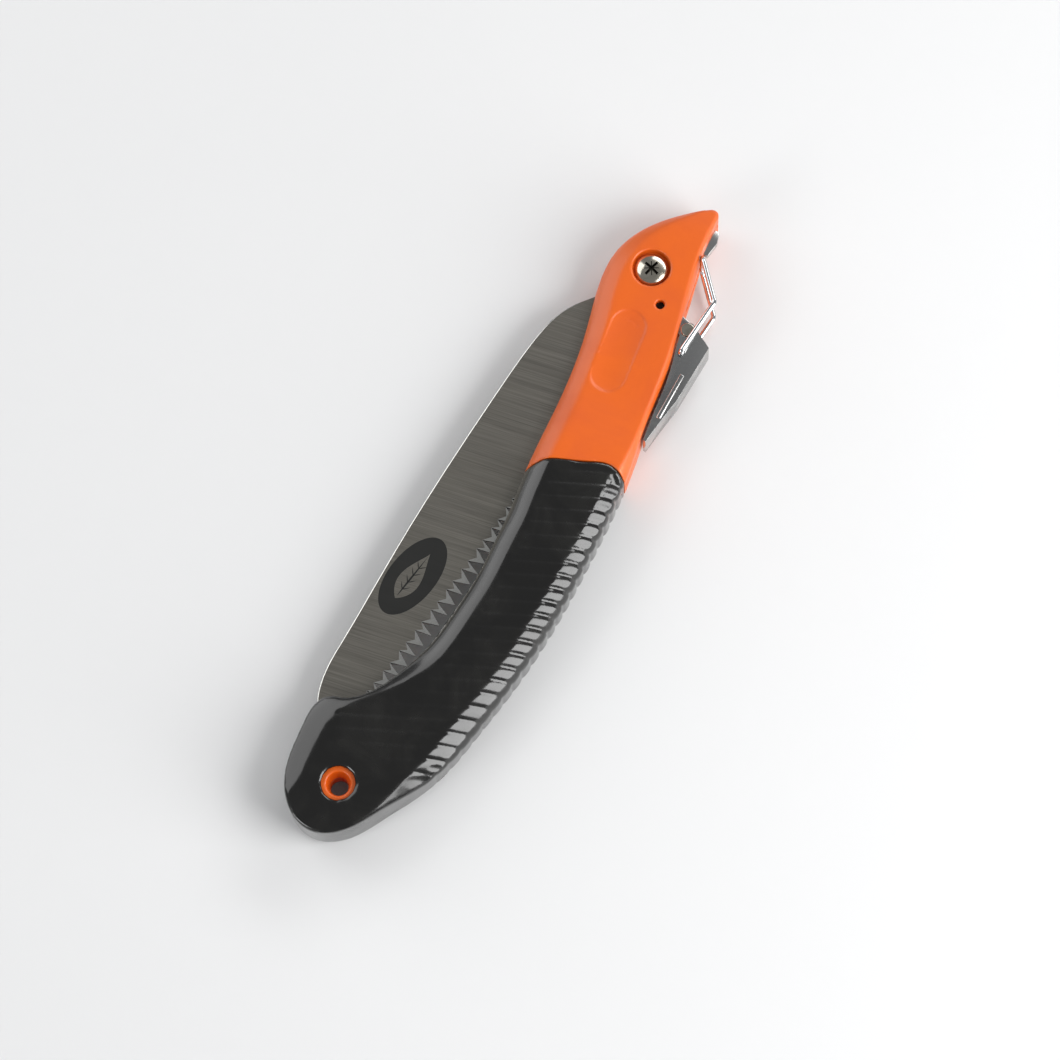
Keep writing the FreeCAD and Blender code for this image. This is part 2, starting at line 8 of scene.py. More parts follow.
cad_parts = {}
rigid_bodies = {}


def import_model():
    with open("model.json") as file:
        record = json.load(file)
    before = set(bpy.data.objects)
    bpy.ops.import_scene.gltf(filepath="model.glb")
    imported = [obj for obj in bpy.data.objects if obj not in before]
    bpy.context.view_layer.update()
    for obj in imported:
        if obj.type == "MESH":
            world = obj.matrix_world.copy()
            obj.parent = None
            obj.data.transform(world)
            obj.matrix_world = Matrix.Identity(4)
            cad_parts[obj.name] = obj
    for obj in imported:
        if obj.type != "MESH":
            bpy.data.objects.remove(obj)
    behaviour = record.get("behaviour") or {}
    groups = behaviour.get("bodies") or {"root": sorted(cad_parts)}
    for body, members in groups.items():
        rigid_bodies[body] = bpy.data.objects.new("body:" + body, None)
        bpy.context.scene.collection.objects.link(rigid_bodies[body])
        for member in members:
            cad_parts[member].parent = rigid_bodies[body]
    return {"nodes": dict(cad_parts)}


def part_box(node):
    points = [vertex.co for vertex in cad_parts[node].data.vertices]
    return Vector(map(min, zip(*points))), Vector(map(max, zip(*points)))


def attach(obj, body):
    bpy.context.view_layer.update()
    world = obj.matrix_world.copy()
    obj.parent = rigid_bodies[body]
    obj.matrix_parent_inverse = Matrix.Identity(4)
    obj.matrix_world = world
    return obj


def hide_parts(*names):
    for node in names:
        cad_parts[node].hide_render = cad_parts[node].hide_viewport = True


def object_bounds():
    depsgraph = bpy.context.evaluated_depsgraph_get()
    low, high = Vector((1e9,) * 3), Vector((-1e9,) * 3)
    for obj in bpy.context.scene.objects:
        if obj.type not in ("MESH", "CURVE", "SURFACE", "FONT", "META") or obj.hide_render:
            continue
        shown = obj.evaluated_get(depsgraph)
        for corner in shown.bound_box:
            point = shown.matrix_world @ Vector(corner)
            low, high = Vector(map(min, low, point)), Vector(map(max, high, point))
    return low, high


# Folding pruning saw, folded and latched. Metres here; MM turns a millimetre into metres.
# +Y runs to the beak, +X to the spine, +Z out of the front cheek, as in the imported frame.
MM = 0.001

bpy.ops.object.select_all(action="SELECT")
bpy.ops.object.delete()
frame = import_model()
cad_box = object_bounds()
NODES = frame["nodes"]


# ---- small workshop helpers ----

def release():
    bpy.ops.object.select_all(action="DESELECT")


def take(piece):
    release()
    piece.select_set(True)
    bpy.context.view_layer.objects.active = piece


def open_mesh(piece, pick="SELECT"):
    take(piece)
    bpy.ops.object.mode_set(mode="EDIT")
    bpy.ops.mesh.select_mode(type="VERT")
    bpy.ops.mesh.select_all(action=pick)


def close_mesh():
    bpy.ops.object.mode_set(mode="OBJECT")


def fix_place(piece):
    take(piece)
    bpy.ops.object.transform_apply(location=True, rotation=True, scale=True)


def finish_with(piece, kind, **settings):
    """Adds a modifier with these settings and applies it."""
    step = piece.modifiers.new(kind, kind)
    for key, value in settings.items():
        setattr(step, key, value)
    take(piece)
    bpy.ops.object.modifier_apply(modifier=step.name)


def merge(piece, reach=0.002 * MM):
    open_mesh(piece)
    bpy.ops.mesh.remove_doubles(threshold=reach)
    bpy.ops.mesh.normals_make_consistent(inside=False)
    close_mesh()


def copy_of(node, name):
    """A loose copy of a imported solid, merged, to be worked on."""
    piece = bpy.data.objects.new(name, NODES[node].data.copy())
    bpy.context.scene.collection.objects.link(piece)
    piece.data.materials.clear()
    take(piece)
    if piece.data.has_custom_normals:
        bpy.ops.mesh.customdata_custom_splitnormals_clear()
    merge(piece)
    return piece


def smooth_by_angle(piece, degrees):
    take(piece)
    bpy.ops.object.shade_smooth_by_angle(angle=math.radians(degrees))


def smooth_all(piece):
    take(piece)
    bpy.ops.object.shade_smooth()


def softened(node, name, width, segments=2, corner=35.0):
    """Copy of a sheet-metal or turned solid whose sharp edges are rolled over."""
    piece = copy_of(node, name)
    open_mesh(piece)
    bpy.ops.mesh.dissolve_limited(angle_limit=math.radians(0.5))
    close_mesh()
    finish_with(
        piece, "BEVEL", width=width, segments=segments, limit_method="ANGLE",
        angle_limit=math.radians(corner), use_clamp_overlap=True, miter_outer="MITER_ARC")
    smooth_by_angle(piece, 40.0)
    return piece


def mould(piece, grain, passes):
    """Gives a moulded piece an even skin of small faces and softly broken edges."""
    finish_with(piece, "REMESH", mode="VOXEL", voxel_size=grain, adaptivity=0.0, use_smooth_shade=True)
    finish_with(piece, "SMOOTH", factor=0.5, iterations=passes)


def turned(name, axis, profile, segments=64):
    """Round piece: a profile of (radius, height) spun about an axis parallel to Z."""
    release()
    first = (axis[0] + profile[0][0], axis[1], profile[0][1])
    bpy.ops.mesh.primitive_plane_add(size=0.1 * MM, location=first)
    piece = bpy.context.object
    piece.name = name
    fix_place(piece)
    open_mesh(piece)
    bpy.ops.mesh.merge(type="CENTER")
    for (r0, z0), (r1, z1) in zip(profile[:-1], profile[1:]):
        bpy.ops.mesh.extrude_region_move(TRANSFORM_OT_translate={"value": (r1 - r0, 0, z1 - z0)})
    bpy.ops.mesh.select_all(action="SELECT")
    bpy.ops.mesh.spin(
        steps=segments, angle=2 * math.pi, center=(axis[0], axis[1], 0), axis=(0, 0, 1))
    bpy.ops.mesh.select_all(action="SELECT")
    bpy.ops.mesh.remove_doubles(threshold=0.003 * MM)
    bpy.ops.mesh.normals_make_consistent(inside=False)
    close_mesh()
    return piece


def cutter(name, centre, size, taper=1.0, turn=0.0):
    """Box whose lower end is narrowed by taper, for a pressed recess."""
    release()
    bpy.ops.mesh.primitive_cube_add(size=1.0, location=(0, 0, 0))
    box = bpy.context.object
    box.name = name
    box.scale = size
    fix_place(box)
    open_mesh(box, "DESELECT")
    low = bmesh.from_edit_mesh(box.data)
    for corner in low.verts:
        corner.select = corner.co.z < 0
    low.select_flush_mode()
    bmesh.update_edit_mesh(box.data)
    bpy.ops.transform.resize(value=(taper, taper, 1.0))
    close_mesh()
    box.rotation_euler = (0, 0, turn)
    box.location = centre
    fix_place(box)
    return box


def carve(piece, tools):
    for tool in tools:
        step = piece.modifiers.new("carve", "BOOLEAN")
        step.operation = "DIFFERENCE"
        step.solver = "EXACT"
        step.object = tool
        take(piece)
        bpy.ops.object.modifier_apply(modifier=step.name)
        bpy.data.objects.remove(tool)


def smoothstep(low, high, value):
    share = min(max((value - low) / (high - low), 0.0), 1.0)
    return share * share * (3 - 2 * share)


# ---- places that the pieces share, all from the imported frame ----

def middle(node):
    low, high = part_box(node)
    return (low + high) / 2


PIVOT = middle("pivot_screw")
SCREW_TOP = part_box("pivot_screw")[1].z
SLEEVE_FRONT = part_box("grip_sleeve")[1].y
BLADE_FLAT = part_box("saw_blade")[1].z
FACE = 8.5 * MM                    # flat face of the front cheek above the parting plane


# ---- camera, floor and light ----

FRAME_WIDTH = 1060
FOCAL_IN_FRAME_WIDTHS = 4000 / FRAME_WIDTH
SENSOR = 36.0
CAMERA_PLACE = Vector((216.3, -178.7, 1218.1)) * MM
CAMERA_FORWARD = Vector((-0.1642, 0.2214, -0.9613))
CAMERA_RIGHT = Vector((0.8586, 0.5119, -0.0288))


def set_camera():
    data = bpy.data.cameras.new("camera")
    data.sensor_width = SENSOR
    data.lens = FOCAL_IN_FRAME_WIDTHS * SENSOR
    data.clip_start = 0.01
    camera = bpy.data.objects.new("camera", data)
    bpy.context.scene.collection.objects.link(camera)
    forward = CAMERA_FORWARD.normalized()
    right = (CAMERA_RIGHT - forward * CAMERA_RIGHT.dot(forward)).normalized()
    up = right.cross(forward)
    turn = Matrix((right, up, -forward)).transposed()
    camera.matrix_world = Matrix.Translation(CAMERA_PLACE) @ turn.to_4x4()
    bpy.context.scene.camera = camera


LIGHT_TARGET = (0.005, 0.10, 0.0)
LIGHTS = (                         # name, place, size, power in watts
    ("light_spine", (0.85, 0.20, 0.42), (0.66, 1.2), 14.0),
    ("light_beak", (0.10, 1.05, 0.62), (1.0, 0.35), 4.6),
    ("light_front", (-0.80, 0.18, 0.36), (0.62, 1.2), 3.8),
    ("light_tail", (-0.35, -0.75, 0.50), (0.4, 0.3), 2.6))
SKY_COLOUR = (0.95, 0.97, 1.0, 1.0)
SKY_STRENGTH = 0.24
FLOOR_SIZE = 6.0


def soft_box(name, place, size, power):
    data = bpy.data.lights.new(name, "AREA")
    data.shape = "RECTANGLE"
    data.size = size[0]
    data.size_y = size[1]
    data.energy = power
    lamp = bpy.data.objects.new(name, data)
    bpy.context.scene.collection.objects.link(lamp)
    lamp.location = place
    lamp.rotation_euler = (Vector(place) - Vector(LIGHT_TARGET)).to_track_quat("Z", "Y").to_euler()


def set_light():
    for name, place, size, power in LIGHTS:
        soft_box(name, place, size, power)
    world = bpy.data.worlds.new("studio")
    bpy.context.scene.world = world
    world.use_nodes = True
    back = world.node_tree.nodes["Background"]
    back.inputs["Color"].default_value = SKY_COLOUR
    back.inputs["Strength"].default_value = SKY_STRENGTH


def set_floor(ground):
    release()
    bpy.ops.mesh.primitive_plane_add(size=FLOOR_SIZE, location=(0, 0.1, cad_box[0][2]))
    floor = bpy.context.object
    floor.name = "floor"
    floor.data.materials.append(ground)


# ---- node groups shared by the finishes ----

class Sheet:
    """Short way to lay nodes out and join them."""

    def __init__(self, tree):
        self.tree = tree

    def node(self, kind, settings=None, **sockets):
        made = self.tree.nodes.new(kind)
        for key, value in (settings or {}).items():
            setattr(made, key, value)
        for key, value in sockets.items():
            made.inputs[key.replace("_", " ")].default_value = value
        return made

    def join(self, source, target):
        self.tree.links.new(source, target)


def new_group(name, numbers, outputs):
    """numbers is {name: default}, outputs is {name: socket type}."""
    group = bpy.data.node_groups.new(name, "ShaderNodeTree")
    for key, value in numbers.items():
        kind = "NodeSocketVector" if isinstance(value, tuple) else "NodeSocketFloat"
        socket = group.interface.new_socket(name=key, in_out="INPUT", socket_type=kind)
        socket.default_value = value
    for key, kind in outputs.items():
        group.interface.new_socket(name=key, in_out="OUTPUT", socket_type=kind)
    sheet = Sheet(group)
    return group, sheet, sheet.node("NodeGroupInput"), sheet.node("NodeGroupOutput")


def grain_group():
    """Fine skin of a moulded or cast surface: a height that changes over the surface."""
    numbers = {"Fine Scale": 4000.0, "Coarse Scale": 300.0, "Coarse Share": 0.4}
    group, sheet, given, out = new_group("moulding_grain", numbers, {"Height": "NodeSocketFloat"})
    where = sheet.node("ShaderNodeTexCoord")
    fine = sheet.node("ShaderNodeTexNoise", Detail=3.0, Roughness=0.6)
    coarse = sheet.node("ShaderNodeTexNoise", Detail=2.0, Roughness=0.5)
    blend = sheet.node("ShaderNodeMix")
    sheet.join(where.outputs["Object"], fine.inputs["Vector"])
    sheet.join(where.outputs["Object"], coarse.inputs["Vector"])
    sheet.join(given.outputs["Fine Scale"], fine.inputs["Scale"])
    sheet.join(given.outputs["Coarse Scale"], coarse.inputs["Scale"])
    sheet.join(given.outputs["Coarse Share"], blend.inputs["Factor"])
    sheet.join(fine.outputs["Fac"], blend.inputs["A"])
    sheet.join(coarse.outputs["Fac"], blend.inputs["B"])
    sheet.join(blend.outputs["Result"], out.inputs["Height"])
    return group


def handling_group():
    """Where hands and the pack have touched: a soft uneven mask from 0 to 1."""
    numbers = {"Scale": 60.0, "Low": 0.42, "High": 0.68}
    group, sheet, given, out = new_group("handling_marks", numbers, {"Mask": "NodeSocketFloat"})
    where = sheet.node("ShaderNodeTexCoord")
    cloud = sheet.node("ShaderNodeTexNoise", Detail=5.0, Roughness=0.62, Distortion=0.5)
    span = sheet.node("ShaderNodeMapRange")
    sheet.join(where.outputs["Object"], cloud.inputs["Vector"])
    sheet.join(given.outputs["Scale"], cloud.inputs["Scale"])
    sheet.join(cloud.outputs["Fac"], span.inputs["Value"])
    sheet.join(given.outputs["Low"], span.inputs["From Min"])
    sheet.join(given.outputs["High"], span.inputs["From Max"])
    sheet.join(span.outputs["Result"], out.inputs["Mask"])
    return group


def edge_group():
    """Sharp convex edges made brighter, as rubbed wear and as painted sheen: a mask from 0 to 1, broken up
    by noise.
    """
    numbers = {"Start": 0.52, "Full": 0.60, "Break Scale": 500.0}
    group, sheet, given, out = new_group("edge_wear_and_sheen_mask", numbers, {"Mask": "NodeSocketFloat"})
    shape = sheet.node("ShaderNodeNewGeometry")
    where = sheet.node("ShaderNodeTexCoord")
    span = sheet.node("ShaderNodeMapRange")
    rough = sheet.node("ShaderNodeTexNoise", Detail=4.0, Roughness=0.6)
    keep = sheet.node("ShaderNodeMath", {"operation": "MULTIPLY", "use_clamp": True})
    sheet.join(shape.outputs["Pointiness"], span.inputs["Value"])
    sheet.join(given.outputs["Start"], span.inputs["From Min"])
    sheet.join(given.outputs["Full"], span.inputs["From Max"])
    sheet.join(where.outputs["Object"], rough.inputs["Vector"])
    sheet.join(given.outputs["Break Scale"], rough.inputs["Scale"])
    sheet.join(span.outputs["Result"], keep.inputs[0])
    sheet.join(rough.outputs["Fac"], keep.inputs[1])
    sheet.join(keep.outputs["Value"], out.inputs["Mask"])
    return group


def brushing_group():
    """Long parallel scratches: stretched noise turned to the brushing direction."""
    numbers = {"Stretch": (60.0, 2600.0, 60.0), "Turn": (0.0, 0.0, 0.0)}
    outputs = {"Lines": "NodeSocketFloat", "Bands": "NodeSocketFloat"}
    group, sheet, given, out = new_group("brushing", numbers, outputs)
    where = sheet.node("ShaderNodeTexCoord")
    turned_to = sheet.node("ShaderNodeMapping", {"vector_type": "POINT"})
    stretched = sheet.node("ShaderNodeVectorMath", {"operation": "MULTIPLY"})
    lines = sheet.node("ShaderNodeTexNoise", Scale=1.0, Detail=3.0, Roughness=0.65)
    broad = sheet.node("ShaderNodeVectorMath", {"operation": "MULTIPLY"})
    broad.inputs[1].default_value = (0.5, 0.12, 0.5)
    bands = sheet.node("ShaderNodeTexNoise", Scale=1.0, Detail=2.0, Roughness=0.5)
    sheet.join(where.outputs["Object"], turned_to.inputs["Vector"])
    sheet.join(given.outputs["Turn"], turned_to.inputs["Rotation"])
    sheet.join(turned_to.outputs["Vector"], stretched.inputs[0])
    sheet.join(given.outputs["Stretch"], stretched.inputs[1])
    sheet.join(stretched.outputs["Vector"], lines.inputs["Vector"])
    sheet.join(stretched.outputs["Vector"], broad.inputs[0])
    sheet.join(broad.outputs["Vector"], bands.inputs["Vector"])
    sheet.join(lines.outputs["Fac"], out.inputs["Lines"])
    sheet.join(bands.outputs["Fac"], out.inputs["Bands"])
    return group


GRAIN = grain_group()
HANDLING = handling_group()
EDGES = edge_group()
BRUSHING = brushing_group()


class Finish:
    """One material: its shader, and the groups and ramps that feed it."""

    def __init__(self, name, **plain):
        self.material = bpy.data.materials.new(name)
        self.material.use_nodes = True
        self.sheet = Sheet(self.material.node_tree)
        self.shader = self.material.node_tree.nodes["Principled BSDF"]
        for key, value in plain.items():
            self.shader.inputs[key.replace("_", " ")].default_value = value

    def group(self, group, **values):
        made = self.sheet.node("ShaderNodeGroup", {"node_tree": group})
        for key, value in values.items():
            made.inputs[key.replace("_", " ")].default_value = value
        return made

    def between(self, mask, low, high, kind="FLOAT"):
        """A number or colour that goes from low to high with the mask."""
        mix = self.sheet.node("ShaderNodeMix", {"data_type": kind})
        sockets = [s for s in mix.inputs if s.enabled and s.name in ("A", "B")]
        for socket, value in zip(sockets, (low, high)):
            if isinstance(value, bpy.types.NodeSocket):
                self.sheet.join(value, socket)
            else:
                socket.default_value = value
        factor = [s for s in mix.inputs if s.enabled and s.name == "Factor"][0]
        self.sheet.join(mask, factor)
        return [s for s in mix.outputs if s.enabled][0]

    def colour(self, source):
        self.sheet.join(source, self.shader.inputs["Base Color"])

    def roughness(self, source):
        self.sheet.join(source, self.shader.inputs["Roughness"])

    def relief(self, source, strength, distance):
        bump = self.sheet.node("ShaderNodeBump", Strength=strength, Distance=distance)
        self.sheet.join(source, bump.inputs["Height"])
        self.sheet.join(bump.outputs["Normal"], self.shader.inputs["Normal"])


def tone(red, green, blue):
    """Colour from everyday 0 to 255 values."""
    def linear(value):
        value = value / 255
        return value / 12.92 if value <= 0.04045 else ((value + 0.055) / 1.055) ** 2.4
    return (linear(red), linear(green), linear(blue), 1.0)


def orange_plastic():
    finish = Finish("orange_shell", IOR=1.5, Coat_Weight=0.25, Coat_Roughness=0.30)
    grain = finish.group(GRAIN, Fine_Scale=5200.0, Coarse_Scale=260.0, Coarse_Share=0.5)
    marks = finish.group(HANDLING, Scale=45.0)
    wear_and_sheen_edges = finish.group(EDGES, Start=0.53, Full=0.66)
    body = finish.between(marks.outputs["Mask"], tone(222, 96, 16), tone(214, 88, 12), "RGBA")
    # painted highlight: a lighter orange on the sharp convex edges
    edge_lightened_colour = finish.between(wear_and_sheen_edges.outputs["Mask"], body, tone(240, 130, 56), "RGBA")
    finish.colour(edge_lightened_colour)
    finish.roughness(finish.between(marks.outputs["Mask"], 0.38, 0.48))
    finish.relief(grain.outputs["Height"], 0.10, 0.05 * MM)
    return finish.material


def black_rubber():
    finish = Finish("black_grip", IOR=1.52, Coat_Weight=0.6, Coat_Roughness=0.08)
    grain = finish.group(GRAIN, Fine_Scale=3600.0, Coarse_Scale=420.0, Coarse_Share=0.55)
    marks = finish.group(HANDLING, Scale=70.0, Low=0.45, High=0.7)
    wear_and_sheen_edges = finish.group(EDGES, Start=0.53, Full=0.62)
    body = finish.between(marks.outputs["Mask"], tone(12, 11, 9), tone(20, 19, 16), "RGBA")
    # a lighter grey on the sharp convex edges
    edge_lightened_colour = finish.between(wear_and_sheen_edges.outputs["Mask"], body, tone(44, 43, 42), "RGBA")
    finish.colour(edge_lightened_colour)
    finish.roughness(finish.between(marks.outputs["Mask"], 0.20, 0.32))
    finish.relief(grain.outputs["Height"], 0.12, 0.05 * MM)
    return finish.material


BRUSH_TURN = math.radians(-12.0)


def blade_steel():
    finish = Finish("saw_steel", Metallic=1.0)
    lines = finish.group(BRUSHING, Stretch=(30.0, 2300.0, 30.0), Turn=(0.0, 0.0, BRUSH_TURN))
    marks = finish.group(HANDLING, Scale=38.0)
    plain = finish.between(lines.outputs["Lines"], tone(84, 81, 75), tone(172, 168, 159), "RGBA")
    share = finish.sheet.node("ShaderNodeMath", {"operation": "MULTIPLY"})
    share.inputs[1].default_value = 0.35
    finish.sheet.join(marks.outputs["Mask"], share.inputs[0])
    finish.colour(finish.between(share.outputs["Value"], plain, tone(138, 134, 125), "RGBA"))
    finish.roughness(finish.between(lines.outputs["Bands"], 0.34, 0.48))
    finish.relief(lines.outputs["Lines"], 0.45, 0.03 * MM)
    return finish.material


def ground_steel():
    finish = Finish("ground_facets", Metallic=1.0)
    lines = finish.group(BRUSHING, Stretch=(2600.0, 300.0, 300.0), Turn=(0.0, 0.0, math.radians(20.0)))
    finish.colour(finish.between(lines.outputs["Lines"], tone(205, 204, 198), tone(240, 239, 234), "RGBA"))
    finish.roughness(finish.between(lines.outputs["Bands"], 0.18, 0.30))
    finish.relief(lines.outputs["Lines"], 0.2, 0.01 * MM)
    return finish.material


def plated_metal(name, dark, light, low, high, scale=90.0):
    finish = Finish(name, Metallic=1.0)
    marks = finish.group(HANDLING, Scale=scale)
    grain = finish.group(GRAIN, Fine_Scale=2600.0, Coarse_Scale=500.0, Coarse_Share=0.6)
    wear_and_sheen_edges = finish.group(EDGES, Start=0.52, Full=0.60)
    bright = tuple(min(1.0, 1.35 * part + 0.02) for part in light)
    body = finish.between(marks.outputs["Mask"], light, dark, "RGBA")
    finish.colour(finish.between(wear_and_sheen_edges.outputs["Mask"], body, bright, "RGBA"))
    finish.roughness(finish.between(marks.outputs["Mask"], low, high))
    finish.relief(grain.outputs["Height"], 0.08, 0.02 * MM)
    return finish.material


def printed_black():
    finish = Finish("printed_oval", IOR=1.45)
    lines = finish.group(BRUSHING, Stretch=(30.0, 2300.0, 30.0), Turn=(0.0, 0.0, BRUSH_TURN))
    finish.colour(finish.between(lines.outputs["Lines"], tone(24, 24, 23), tone(34, 34, 32), "RGBA"))
    finish.roughness(finish.between(lines.outputs["Bands"], 0.38, 0.52))
    finish.relief(lines.outputs["Lines"], 0.15, 0.01 * MM)
    return finish.material


def white_nylon():
    finish = Finish("nylon", IOR=1.53)
    grain = finish.group(GRAIN, Fine_Scale=2400.0, Coarse_Scale=300.0, Coarse_Share=0.4)
    finish.colour(finish.between(grain.outputs["Height"], tone(214, 212, 204), tone(234, 232, 226), "RGBA"))
    finish.roughness(finish.between(grain.outputs["Height"], 0.42, 0.55))
    finish.relief(grain.outputs["Height"], 0.1, 0.03 * MM)
    return finish.material


def pale_ground():
    finish = Finish("pale_ground", Roughness=0.9, IOR=1.3)
    grain = finish.group(GRAIN, Fine_Scale=90.0, Coarse_Scale=4.0, Coarse_Share=0.6)
    dull, light = (0.75, 0.75, 0.75, 1), (0.77, 0.77, 0.77, 1)
    finish.colour(finish.between(grain.outputs["Height"], dull, light, "RGBA"))
    return finish.material


ORANGE = orange_plastic()
BLACK = black_rubber()
BLADE_STEEL = blade_steel()
FACETS = ground_steel()
PLATED = plated_metal("plated_steel", tone(150, 150, 150), tone(196, 196, 194), 0.16, 0.30)
NICKEL = plated_metal("nickel_screw", tone(186, 178, 162), tone(216, 209, 194), 0.12, 0.24, 160.0)
CHROME = plated_metal("chrome_wire", tone(205, 206, 208), tone(232, 233, 235), 0.05, 0.12, 120.0)
PIN_STEEL = plated_metal("pin_steel", tone(22, 21, 20), tone(38, 36, 34), 0.45, 0.60)
# painted shade for the walls and floor of the screw's driven recess
RECESS_PAINTED_SHADE = plated_metal("recess_painted_shade", tone(52, 48, 42), tone(84, 79, 70), 0.30, 0.45)
OVAL_BLACK = printed_black()
NYLON = white_nylon()


def dress(piece, finish):
    piece.data.materials.clear()
    piece.data.materials.append(finish)


def settle(piece, body, slot, *nodes):
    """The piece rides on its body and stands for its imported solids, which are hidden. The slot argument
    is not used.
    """
    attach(piece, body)
    if nodes:
        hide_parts(*nodes)


# ---- grip sleeve with its ribs ----

SLEEVE_GRAIN = 0.57 * MM
SLEEVE_PASSES = 7
RIB_PASSES = 2
RIB_PITCH = 4.9 * MM
RIB_SLOPE = 0.50                   # the ribs rise towards the spine
BEAD_DEPTH = 0.85 * MM             # grooves between the beads on the spine side
FACE_GROOVE_DEPTH = 0.40 * MM      # the same grooves across the flat of the grip
FACE_GROOVE_WIDTH = 0.78 * MM
SMOOTH_BORDER = 8.4 * MM           # plain band along the concave side
RIBS_END = 15.0 * MM               # the ribs fade out before the hang hole
RIBS_FADE = 6.0 * MM               # over this length each side of that place
FIRST_RIB = (9.0 * MM, 4.0 * MM)   # the first rib starts this far behind and inside the front corner
BEADS_END = 3.8 * MM               # beads reach this far from the spine side,
FACE_BEGINS = 7.6 * MM             # and past this only the face grooves are left
CUSP_POWER = 2.2
CUSP_AT_TAIL = 0.4                 # share of the bead depth left near the tail
CUSP_SPAN = (30.0 * MM, 85.0 * MM)
CROWN_TILT = math.radians(42.0)    # the beads' crowns are flattened at this angle to the face
CROWN_REACH = 3.56 * MM            # from the corner where the face and the spine side would meet
CROWN_DOME = 0.40 * MM             # so the flats narrow towards the grooves
WAVE_PITCH = 27.4 * MM
WAVE_DEPTH = 0.35 * MM             # shallow finger waves along the concave side
WAVE_START = 36.8 * MM
WAVE_SPAN = (28.0 * MM, 38.0 * MM, 100.0 * MM, 112.0 * MM)
WAVE_FULL = 2.0 * MM
FULL_WEIGHT = 1.6 * MM             # depth that a vertex weight of 1 stands for
OPENING_EDGE = 6.8 * MM
OPENING_PASSES = 14


class Rim:
    """Lowest and highest reach of a piece along one axis, read in steps along another."""

    def __init__(self, piece, along, across, step=2.0 * MM):
        self.step = step
        self.low = {}
        self.high = {}
        for corner in piece.data.vertices:
            key = round(corner.co[along] / step)
            value = corner.co[across]
            self.low[key] = min(self.low.get(key, value), value)
            self.high[key] = max(self.high.get(key, value), value)

    def _read(self, table, place):
        key = place / self.step
        base = math.floor(key)
        nearest = min(table, key=lambda k: abs(k - key))
        first = table.get(base, table[nearest])
        second = table.get(base + 1, table[nearest])
        return first + (second - first) * (key - base)

    def lowest(self, place):
        return self._read(self.low, place)

    def highest(self, place):
        return self._read(self.high, place)


def groove_depths(sleeve):
    """How deep the skin is pressed in at each corner of the sleeve."""
    sides = Rim(sleeve, 1, 0)
    tops = Rim(sleeve, 1, 2)
    front = Rim(sleeve, 0, 1)
    start_x = sides.highest(SLEEVE_FRONT - FIRST_RIB[0]) - FIRST_RIB[1]
    start = front.highest(start_x) - RIB_SLOPE * start_x
    depths = []
    for corner in sleeve.data.vertices:
        place = corner.co
        facing = corner.normal
        concave = sides.lowest(place.y)
        spine = sides.highest(place.y)
        outward = facing.x * (place.x - (concave + spine) / 2) * 0.5 + facing.z * place.z
        if outward <= 0 or abs(facing.y) > 0.8:
            depths.append(0.0)
            continue
        phase = (start - place.y + RIB_SLOPE * place.x) / RIB_PITCH
        apart = abs(phase - round(phase))
        started = smoothstep(0.25, 0.6, (front.highest(place.x) - place.y) / RIB_PITCH)
        ended = smoothstep(RIBS_END - RIBS_FADE, RIBS_END + RIBS_FADE, place.y)
        beyond_border = smoothstep(SMOOTH_BORDER - 1.0 * MM, SMOOTH_BORDER + 0.6 * MM, place.x - concave)
        from_spine = spine - place.x
        to_spine = 1 - smoothstep(BEADS_END, FACE_BEGINS, from_spine)
        between_beads = 1 - math.sin(math.pi * apart)
        cusp = between_beads ** CUSP_POWER
        cusp *= CUSP_AT_TAIL + (1 - CUSP_AT_TAIL) * smoothstep(*CUSP_SPAN, place.y)
        thin = math.exp(-(apart * RIB_PITCH / FACE_GROOVE_WIDTH) ** 2)
        groove = BEAD_DEPTH * cusp * to_spine + FACE_GROOVE_DEPTH * thin * (1 - to_spine)
        below_face = tops.highest(place.y) - abs(place.z)
        reach = from_spine * math.sin(CROWN_TILT) + below_face * math.cos(CROWN_TILT)
        crown = max(CROWN_REACH - CROWN_DOME * between_beads - reach, 0.0)
        swell = 0.5 - 0.5 * math.cos(2 * math.pi * (place.y - WAVE_START) / WAVE_PITCH)
        near_front = 1 - smoothstep(WAVE_FULL, SMOOTH_BORDER, place.x - concave)
        on_grip = smoothstep(*WAVE_SPAN[:2], place.y) * (1 - smoothstep(*WAVE_SPAN[2:], place.y))
        pressed = (groove * beyond_border + crown) * started * ended
        depths.append(pressed + WAVE_DEPTH * swell * near_front * on_grip)
    return depths


def press_in(piece, depths):
    """Moves the skin inwards along its normals by these depths."""
    group = piece.vertex_groups.new(name="pressed")
    for number, depth in enumerate(depths):
        if depth > 0:
            group.add([number], min(depth / FULL_WEIGHT, 1.0), "REPLACE")
    finish_with(
        piece, "DISPLACE", vertex_group="pressed", direction="NORMAL", mid_level=0.0,
        strength=-FULL_WEIGHT)
    piece.vertex_groups.clear()


def ease_opening(sleeve):
    """A smoother roll into the round opening at the hang hole."""
    group = sleeve.vertex_groups.new(name="opening")
    near = [v.index for v in sleeve.data.vertices if v.co.to_2d().length < OPENING_EDGE]
    group.add(near, 1.0, "REPLACE")
    finish_with(sleeve, "SMOOTH", vertex_group="opening", factor=0.5, iterations=OPENING_PASSES)
    sleeve.vertex_groups.clear()


def grip_sleeve():
    sleeve = copy_of("grip_sleeve", "ribbed_sleeve")
    mould(sleeve, SLEEVE_GRAIN, SLEEVE_PASSES)
    press_in(sleeve, groove_depths(sleeve))
    finish_with(sleeve, "SMOOTH", factor=0.5, iterations=RIB_PASSES)
    ease_opening(sleeve)
    smooth_all(sleeve)
    dress(sleeve, BLACK)
    settle(sleeve, "handle", "black_grip", "grip_sleeve")


# ---- orange cheeks ----

